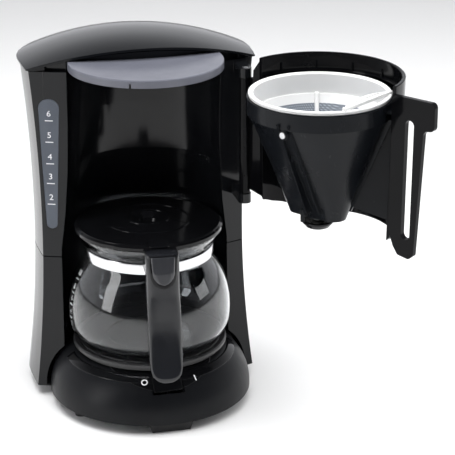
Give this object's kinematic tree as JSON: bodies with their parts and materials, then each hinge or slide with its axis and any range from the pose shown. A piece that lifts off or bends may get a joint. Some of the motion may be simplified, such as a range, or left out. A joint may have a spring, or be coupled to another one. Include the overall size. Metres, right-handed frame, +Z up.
{
  "type": "drip coffee maker",
  "caption": "Drip coffee maker with a swing-out filter door, glass jug on a hot plate, flip-up tank lid, level window and rocker switch.",
  "frame": {"origin": "on the jug's vertical axis at table level, under the feet", "axes": "-Y is the front where the jug goes in, +X the right hand side with the door's hinge, +Z up"},
  "size_m": [0.249, 0.2527, 0.2628],
  "materials": {
    "gloss_black": "gloss",
    "satin_black": "satin",
    "grey_plastic": "satin",
    "clear_plastic": "translucent",
    "white_plastic": "satin",
    "mesh": "fine mesh",
    "rubber": "matte",
    "silicone": "translucent",
    "plate_coating": "non-stick",
    "aluminium": "satin",
    "steel": "plated",
    "band_metal": "bright",
    "lead_jacket": "matte",
    "glass": "clear"
  },
  "bodies": {
    "housing": {"lower_housing": "gloss_black", "upper_housing": "gloss_black", "level_window": "clear_plastic", "base_cowl": "satin_black", "control_panel": "gloss_black", "switch_housing": "satin_black", "bottom_cover": "satin_black", "bottom_screws": "steel", "front_foot": "rubber", "side_feet": "rubber", "rear_feet": "rubber", "hot_plate": "plate_coating", "hot_plate_ring": "plate_coating", "water_heater_tube": "aluminium", "heater_rod": "steel", "heater_clamp": "steel", "clamp_screw": "steel", "thermostat": "steel", "thermal_fuse": "steel", "cold_hose": "silicone", "riser_hose": "silicone", "check_valve": "white_plastic", "hose_clips": "white_plastic", "outlet_pipe": "grey_plastic", "shower_disc": "grey_plastic", "cord_gland": "rubber", "terminal_block": "white_plastic", "internal_leads": "lead_jacket", "water_tank": "grey_plastic", "door_hinge_pins": "steel", "lid_hinge_pin": "steel"},
    "tank_lid": {"top_lid": "gloss_black"},
    "switch_key": {"rocker_switch": "gloss_black"},
    "door": {"door_shell": "gloss_black", "filter_holder": "gloss_black", "holder_screws": "steel"},
    "valve": {"drip_valve": "satin_black", "valve_seal": "rubber", "valve_spring": "silicone"},
    "filter": {"filter_frame": "white_plastic", "filter_mesh": "mesh"},
    "bail": {"filter_bail": "white_plastic"},
    "jug": {"carafe_glass": "glass", "carafe_band": "band_metal", "carafe_handle": "gloss_black", "handle_insert": "satin_black", "band_screw": "steel", "carafe_lid_pin": "steel"},
    "jug_lid": {"carafe_lid": "gloss_black"}
  },
  "joints": [
    {"name": "door_swing", "type": "hinge", "parent": "housing", "child": "door", "pos_m": [0.069, -0.005, 0.19], "axis": [0, 0, 1], "range_deg": [-126.5, 10]},
    {"name": "lid_flip", "type": "hinge", "parent": "housing", "child": "tank_lid", "pos_m": [0, 0.1194, 0.2414], "axis": [-1, 0, 0], "range_deg": [0, 75]},
    {"name": "switch_rock", "type": "hinge", "parent": "housing", "child": "switch_key", "pos_m": [0, -0.05978, 0.0322], "axis": [0, 0.7218, 0.6921], "range_deg": [0, 14]},
    {"name": "carafe_slide", "type": "slide", "parent": "housing", "child": "jug", "axis": [0, -1, 0], "range_m": [0, 0.25]},
    {"name": "jug_lid_flip", "type": "hinge", "parent": "jug", "child": "jug_lid", "pos_m": [-0.00361, -0.05739, 0.1316], "axis": [0.998, -0.0628, 0], "range_deg": [0, 70]},
    {"name": "valve_push", "type": "slide", "parent": "door", "child": "valve", "axis": [0, 0, 1], "range_m": [0, 0.0025], "stiffness_N_per_m": 300, "springref_m": -0.002, "deforming": ["valve_spring"]},
    {"name": "filter_lift", "type": "slide", "parent": "door", "child": "filter", "axis": [0, 0, 1], "range_m": [0, 0.11]},
    {"name": "bail_fold", "type": "hinge", "parent": "filter", "child": "bail", "pos_m": [0.12952, -0.09519, 0.2401], "axis": [0.8039, 0.5948, 0], "range_deg": [0, 90]}
  ]
}
